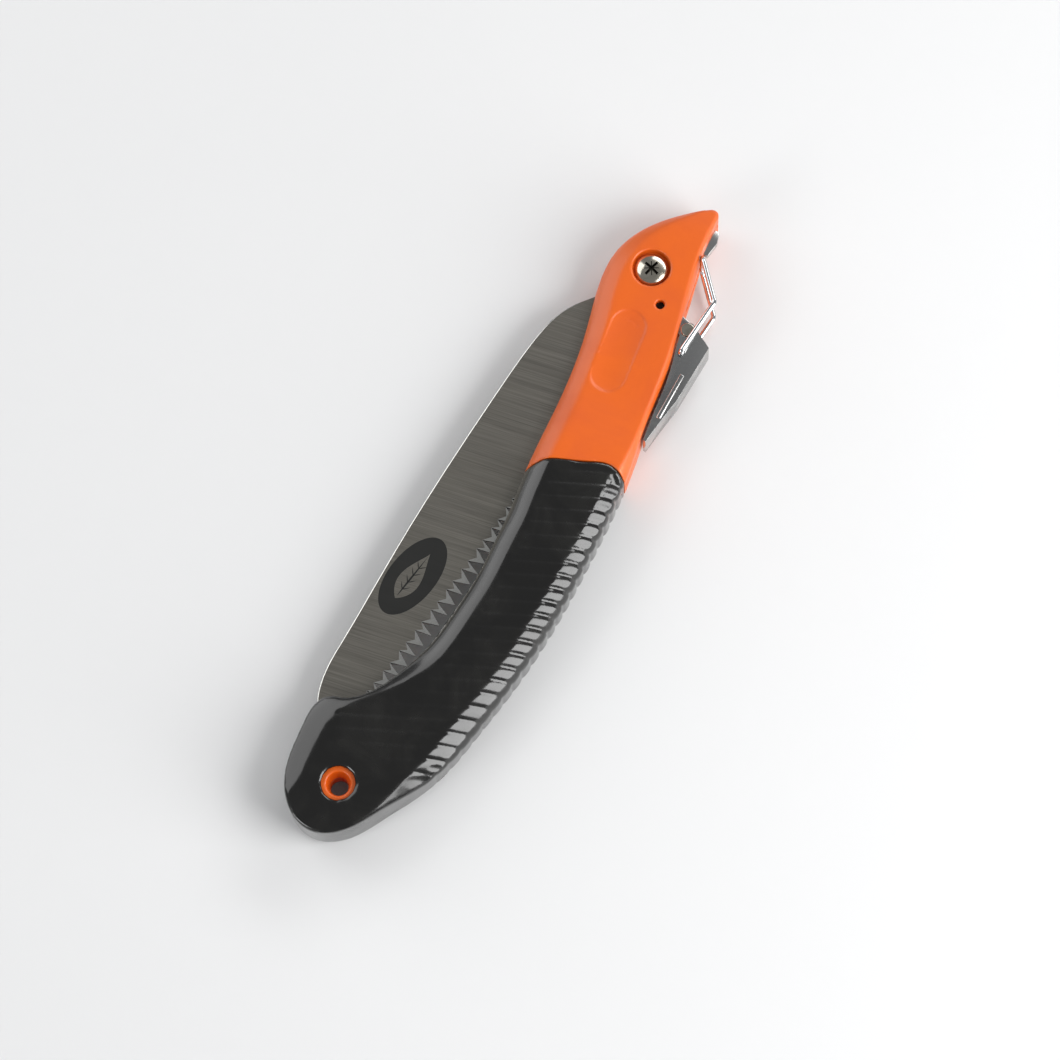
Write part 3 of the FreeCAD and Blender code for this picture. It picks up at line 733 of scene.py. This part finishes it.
CHEEK_GRAIN = 0.46 * MM
CHEEK_PASSES = 2
PAD_TOP = PIVOT + Vector((3.6, -21.0, 0)) * MM
PAD_FOOT = PIVOT + Vector((6.3, -37.8, 0)) * MM
PAD_RADIUS = 5.7 * MM
PAD_RIM_DEPTH = 0.28 * MM
PAD_HOLLOW = 0.42 * MM
PAD_EDGE = 0.97                    # share of the pad's radius that is dished
PAD_SUNK = 0.3 * MM                # skin this far below the face belongs to the pad's floor,
PAD_SEARCH = 1.0 * MM              # and skin further down than this doesn't
PAD_SEARCH_ABOVE = 8.0 * MM
MARK_RADIUS = 2.6 * MM             # short moulded arc near the top of the pad
MARK_WIDTH = 0.6 * MM
MARK_DEPTH = 0.16 * MM
MARK_CHORD = 0.4                   # the arc stops at this share of its radius
BOWL_FLOOR = 2.6 * MM
BOWL_TOP = 11.5 * MM
BOWL_FLOOR_RADIUS = 2.9 * MM
BOWL_TOP_RADIUS = 4.9 * MM


def from_line(place, start, end):
    """Distance in the plane of the cheek from the line between two points."""
    run = (end - start).to_2d()
    rise = (place - start).to_2d()
    share = min(max(rise.dot(run) / run.dot(run), 0.0), 1.0)
    return (rise - run * share).length


def hollow_pad(cheek, side):
    """Turns the flat floor of the thumb hollow into a shallow dish."""
    for corner in cheek.data.vertices:
        height = corner.co.z * side
        if height < FACE - PAD_SEARCH or corner.co.y > PAD_TOP.y + PAD_SEARCH_ABOVE:
            continue
        reach = from_line(corner.co, PAD_TOP, PAD_FOOT) / PAD_RADIUS
        if reach < PAD_EDGE and height < FACE - PAD_SUNK:
            floor = FACE - PAD_RIM_DEPTH - PAD_HOLLOW * (1 - reach * reach)
            from_top = (corner.co - PAD_TOP).to_2d()
            on_arc = abs(from_top.length - MARK_RADIUS) < MARK_WIDTH / 2
            on_arc = on_arc and from_top.y > MARK_CHORD * MARK_RADIUS
            corner.co.z = side * (floor - (MARK_DEPTH if on_arc else 0.0))


def hang_bowl(side):
    """Cutter for the wide mouth of the hang hole."""
    profile = [(0.0, BOWL_FLOOR * side), (BOWL_FLOOR_RADIUS, BOWL_FLOOR * side),
               (BOWL_TOP_RADIUS, BOWL_TOP * side), (0.0, BOWL_TOP * side)]
    return turned("hang_bowl", (0.0, 0.0), profile, 48)


def orange_cheek(node, name, side):
    cheek = copy_of(node, name)
    carve(cheek, [hang_bowl(side)])
    mould(cheek, CHEEK_GRAIN, CHEEK_PASSES)
    hollow_pad(cheek, side)
    smooth_all(cheek)
    dress(cheek, ORANGE)
    settle(cheek, "handle", "orange_shell", node)


# ---- blade ----

TIP_HALF = 0.10 * MM               # half thickness left at the tip of a tooth
TOOTH_SIDE_MIN = 4.0 * MM
TOOTH_SIDE_MAX = 7.5 * MM
SHARPEST_OTHER = math.radians(62.0)
BACK_ROUND = 0.32 * MM
BACK_FACING = -0.35                # a back wall faces the blade's convex side at least this much,
BACK_LEFT_OF = -12.0 * MM          # lies past this place,
BACK_BELOW_PIVOT = 20.0 * MM       # and at least this far down from the pivot


def rim_edges(corner):
    """Edges of the flat face's outline that meet in this corner."""
    found = []
    for edge in corner.link_edges:
        if abs(edge.verts[0].co.z - edge.verts[1].co.z) > 0.01 * MM:
            continue
        if any(abs(face.normal.z) < 0.5 for face in edge.link_faces):
            found.append(edge)
    return found


def tooth_corners(mesh, side):
    """(gullet, tip, gullet) for each tooth, on one flat of the blade."""
    teeth = []
    for corner in mesh.verts:
        if abs(corner.co.z - side * BLADE_FLAT) > 0.01 * MM:
            continue
        sides = rim_edges(corner)
        if len(sides) != 2:
            continue
        ends = [edge.other_vert(corner) for edge in sides]
        runs = [end.co - corner.co for end in ends]
        if not all(TOOTH_SIDE_MIN < run.length < TOOTH_SIDE_MAX for run in runs):
            continue
        points_out = all(run.x < 0 for run in runs)
        if points_out and runs[0].angle(runs[1]) < SHARPEST_OTHER:
            teeth.append((ends[0], corner, ends[1]))
    return teeth


def grind_teeth(blade, side):
    """Splits each tooth off the flat, raises a ridge on it and thins its tip."""
    open_mesh(blade, "DESELECT")
    mesh = bmesh.from_edit_mesh(blade.data)
    spots = [tuple(v.co.copy() for v in tooth) for tooth in tooth_corners(mesh, side)]

    def at(place):
        return min(mesh.verts, key=lambda v: (v.co - place).length_squared)

    for first, _, last in spots:
        bpy.ops.mesh.select_all(action="DESELECT")
        mesh = bmesh.from_edit_mesh(blade.data)
        pair = [at(first), at(last)]
        if mesh.edges.get(pair):
            continue
        for gullet in pair:
            gullet.select = True
        mesh.select_flush_mode()
        bmesh.update_edit_mesh(blade.data)
        bpy.ops.mesh.vert_connect_path()
    bpy.ops.mesh.select_all(action="DESELECT")
    bpy.ops.mesh.select_mode(type="FACE")
    mesh = bmesh.from_edit_mesh(blade.data)
    for _, tip, _ in spots:
        corner = at(tip)
        for face in corner.link_faces:
            if abs(face.normal.z) > 0.9 and len(face.verts) == 3:
                face.select = True
    bmesh.update_edit_mesh(blade.data)
    bpy.ops.mesh.poke()
    bpy.ops.mesh.select_mode(type="VERT")
    bpy.ops.mesh.select_all(action="DESELECT")
    mesh = bmesh.from_edit_mesh(blade.data)
    for _, tip, _ in spots:
        corner = at(tip)
        corner.co.z = side * TIP_HALF
        for face in corner.link_faces:
            if abs(face.normal.z) > 0.5:
                face.material_index = 1
    bmesh.update_edit_mesh(blade.data)
    close_mesh()


def roll_back_edge(blade):
    """A fine round along the blade's back and its end."""
    open_mesh(blade, "DESELECT")
    bpy.ops.mesh.select_mode(type="EDGE")
    mesh = bmesh.from_edit_mesh(blade.data)
    for edge in mesh.edges:
        centre = (edge.verts[0].co + edge.verts[1].co) / 2
        flat = abs(abs(centre.z) - BLADE_FLAT) < 0.01 * MM
        walls = [face for face in edge.link_faces if abs(face.normal.z) < 0.5]
        if not flat or len(walls) != 1 or walls[0].normal.x >= BACK_FACING:
            continue
        if centre.y < PIVOT.y - BACK_BELOW_PIVOT:
            edge.select = centre.x < BACK_LEFT_OF
    bmesh.update_edit_mesh(blade.data)
    bpy.ops.mesh.bevel(offset=BACK_ROUND, segments=2, affect="EDGES", material=1)
    close_mesh()


def saw_blade():
    blade = copy_of("saw_blade", "saw_blade_ground")
    dress(blade, BLADE_STEEL)
    blade.data.materials.append(FACETS)
    open_mesh(blade)
    bpy.ops.mesh.dissolve_limited(angle_limit=math.radians(0.3))
    close_mesh()
    for side in (1, -1):
        grind_teeth(blade, side)
    roll_back_edge(blade)
    smooth_by_angle(blade, 18.0)
    settle(blade, "blade", "saw_steel", "saw_blade")


# ---- plain printed oval with a leaf, in place of any mark ----

OVAL_CENTRE = Vector((-15.9, 70.0, 0)) * MM
OVAL_HALF_WIDTH = 7.6 * MM
OVAL_HALF_LENGTH = 14.8 * MM
OVAL_LEAN = math.radians(-7.0)
PRINT_THICKNESS = 0.012 * MM
LEAF_BELLY = 0.72                  # under 1 puts the leaf's widest place nearer its foot
LEAF_POINT = 1.15
LEAF_SIZE = (3.5 * MM, 9.0 * MM)
MIDRIB_SIZE = (0.30 * MM, 8.2 * MM)
VEIN_SIZE = (0.16 * MM, 1.5 * MM)
VEIN_PLACES = (-4.4, -1.6, 1.2, 4.0)
VEIN_OFFSET = 0.95 * MM
VEIN_LEAN = math.radians(42.0)


def printed_disc(name, half_width, half_length, lean, place, finish, leaf=False):
    """Thin flat print: a stretched round, or a leaf that narrows to a point at each end."""
    release()
    bpy.ops.mesh.primitive_circle_add(vertices=96, radius=1.0, fill_type="NGON")
    disc = bpy.context.object
    disc.name = name
    if leaf:
        for corner in disc.data.vertices:
            along = (corner.co.y + 1) / 2
            side = 1 if corner.co.x > 0 else -1
            corner.co.x = side * math.sin(math.pi * along ** LEAF_BELLY) ** LEAF_POINT
    disc.scale = (half_width, half_length, 1.0)
    fix_place(disc)
    open_mesh(disc)
    bpy.ops.mesh.remove_doubles(threshold=0.01 * MM)
    bpy.ops.mesh.extrude_region_move(TRANSFORM_OT_translate={"value": (0, 0, PRINT_THICKNESS)})
    bpy.ops.mesh.select_all(action="SELECT")
    bpy.ops.mesh.normals_make_consistent(inside=False)
    close_mesh()
    disc.rotation_euler = (0, 0, lean)
    disc.location = place
    fix_place(disc)
    dress(disc, finish)
    settle(disc, "blade", "saw_steel")
    return disc


def blade_print():
    """Oval, leaf and its veins, each lying on the last."""
    lift = Vector((0, 0, PRINT_THICKNESS))
    middle_of_oval = Vector((OVAL_CENTRE.x, OVAL_CENTRE.y, BLADE_FLAT))
    printed_disc("blade_oval", OVAL_HALF_WIDTH, OVAL_HALF_LENGTH, OVAL_LEAN, middle_of_oval, OVAL_BLACK)
    printed_disc("blade_leaf", *LEAF_SIZE, OVAL_LEAN, middle_of_oval + lift, BLADE_STEEL, True)
    ink = middle_of_oval + 2 * lift
    printed_disc("leaf_midrib", *MIDRIB_SIZE, OVAL_LEAN, ink, OVAL_BLACK, True)
    along = Vector((-math.sin(OVAL_LEAN), math.cos(OVAL_LEAN), 0))
    across = Vector((math.cos(OVAL_LEAN), math.sin(OVAL_LEAN), 0))
    for number, share in enumerate(VEIN_PLACES):
        for side in (1, -1):
            root = ink + along * share * MM + across * side * VEIN_OFFSET
            lean = OVAL_LEAN - side * VEIN_LEAN
            name = f"leaf_vein_{number}_{side}".replace("-1", "left")
            printed_disc(name, *VEIN_SIZE, lean, root, OVAL_BLACK, True)


# ---- pivot screw and nut ----

RECESS_FLOOR = 5.5 * MM
CROSS_TURN = math.radians(-14.0)
HEAD_RADIUS = 5.25 * MM
DOME_DROP = 1.62 * MM              # from the crown to the head's rim
DOME_POWER = 0.9
RIM_HEIGHT = 0.25 * MM
SHANK_RADIUS = 2.0 * MM
SHANK_TAPER = 0.4 * MM
CROSS_SIZE = (7.8 * MM, 1.2 * MM, 3.2 * MM)
TICK_SIZE = (5.6 * MM, 0.34 * MM, 1.0 * MM)
WELL_SIZE = (2.1 * MM, 2.1 * MM, 3.6 * MM)
RECESS_REACH = 4.4 * MM            # no part of the driven recess is further from the axis
RECESS_SUNK = 0.06 * MM            # and all of it is at least this far below the dome


def dome_height(radius):
    """Height of the domed head at this distance from its axis."""
    turn = math.asin(min(radius / HEAD_RADIUS, 1.0))
    return SCREW_TOP - DOME_DROP * (1 - math.cos(turn)) ** DOME_POWER


def paint_recess_shade(screw):
    """Painted shade: the walls and floor of the driven recess get a darker colour than the polished dome.
    """
    screw.data.materials.append(RECESS_PAINTED_SHADE)
    for face in screw.data.polygons:
        radius = (face.center - PIVOT).to_2d().length
        sunk = dome_height(radius) - face.center.z
        in_head = radius < RECESS_REACH and face.center.z > RECESS_FLOOR + 0.1 * MM
        if in_head and sunk > RECESS_SUNK:
            face.material_index = 1


def pivot_screw():
    rings = [HEAD_RADIUS * math.sin(math.radians(9 * k)) for k in range(11)]
    crown = [(radius, dome_height(radius)) for radius in rings]
    skirt = [(HEAD_RADIUS, RECESS_FLOOR + RIM_HEIGHT), (HEAD_RADIUS - RIM_HEIGHT, RECESS_FLOOR)]
    shank = [(SHANK_RADIUS, RECESS_FLOOR), (SHANK_RADIUS, -RECESS_FLOOR + SHANK_TAPER),
             (SHANK_RADIUS - SHANK_TAPER, -RECESS_FLOOR), (0.0, -RECESS_FLOOR)]
    screw = turned("pivot_screw_head", PIVOT, crown + skirt + shank, 72)
    crown_top = (PIVOT.x, PIVOT.y, SCREW_TOP)
    quarter = math.pi / 2
    tick_turn = CROSS_TURN + quarter / 2
    carve(screw, [
        cutter("cross", crown_top, CROSS_SIZE, 0.5, CROSS_TURN),
        cutter("cross", crown_top, CROSS_SIZE, 0.5, CROSS_TURN + quarter),
        cutter("tick", crown_top, TICK_SIZE, 0.8, tick_turn),
        cutter("tick", crown_top, TICK_SIZE, 0.8, tick_turn + quarter),
        cutter("well", crown_top, WELL_SIZE, 0.5, tick_turn)])
    smooth_by_angle(screw, 32.0)
    dress(screw, NICKEL)
    paint_recess_shade(screw)
    settle(screw, "handle", "nickel_screw", "pivot_screw")


def pivot_nut():
    nut = softened("pivot_nut", "pivot_nut_flange", 0.22 * MM)
    dress(nut, NICKEL)
    settle(nut, "handle", "nickel_screw", "pivot_nut")


# ---- latch ----

RIB_HEAD = PIVOT.to_2d().to_3d() + Vector((26.3, -25.5, 0)) * MM
RIB_FOOT = PIVOT.to_2d().to_3d() + Vector((26.9, -42.0, 0)) * MM
RIB_WIDTH = 1.5 * MM
RIB_HEIGHT = 0.38 * MM


def lever_rib(name, side):
    """Pressed rib along a cheek of the lever, which stiffens it."""
    run = RIB_HEAD - RIB_FOOT
    place = (RIB_HEAD + RIB_FOOT) / 2 + Vector((0, 0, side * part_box("latch_lever")[1].z))
    size = (RIB_WIDTH, run.length, 2 * RIB_HEIGHT)
    rib = cutter(name, place, size, 1.0, math.atan2(-run.x, run.y))
    finish_with(rib, "BEVEL", width=0.45 * RIB_WIDTH, segments=5, affect="EDGES", limit_method="NONE")
    smooth_all(rib)
    dress(rib, PLATED)
    settle(rib, "lever", "plated_steel")


def latch():
    for name, side in (("lever_rib_front", 1), ("lever_rib_rear", -1)):
        lever_rib(name, side)
    lever = softened("latch_lever", "lever_pressed", 0.42 * MM, 3)
    dress(lever, PLATED)
    settle(lever, "lever", "plated_steel", "latch_lever")
    bracket = softened("latch_bracket", "bracket_pressed", 0.18 * MM)
    dress(bracket, PLATED)
    settle(bracket, "handle", "plated_steel", "latch_bracket")
    plate = softened("catch_plate", "catch_plate_pressed", 0.25 * MM)
    dress(plate, PLATED)
    settle(plate, "handle", "plated_steel", "catch_plate")
    rivet = softened("lever_rivet", "rivet_domed", 0.28 * MM, 4)
    dress(rivet, NICKEL)
    settle(rivet, "handle", "plated_steel", "lever_rivet")
    dress(NODES["bail_wire"], CHROME)


def hidden_hardware():
    for node in ("blade_washer_front", "blade_washer_rear"):
        dress(NODES[node], NYLON)
    for node in ("spring_washer", "fold_stop_pin", "bracket_pin_front", "bracket_pin_rear",
                 "shell_screw_1", "shell_screw_2", "shell_screw_3"):
        dress(NODES[node], PIN_STEEL)


set_camera()
set_light()
set_floor(pale_ground())
grip_sleeve()
orange_cheek("handle_shell_front", "orange_cheek_front", 1)
orange_cheek("handle_shell_rear", "orange_cheek_rear", -1)
saw_blade()
blade_print()
pivot_screw()
pivot_nut()
latch()
hidden_hardware()
bpy.context.scene.view_settings.view_transform = "Standard"
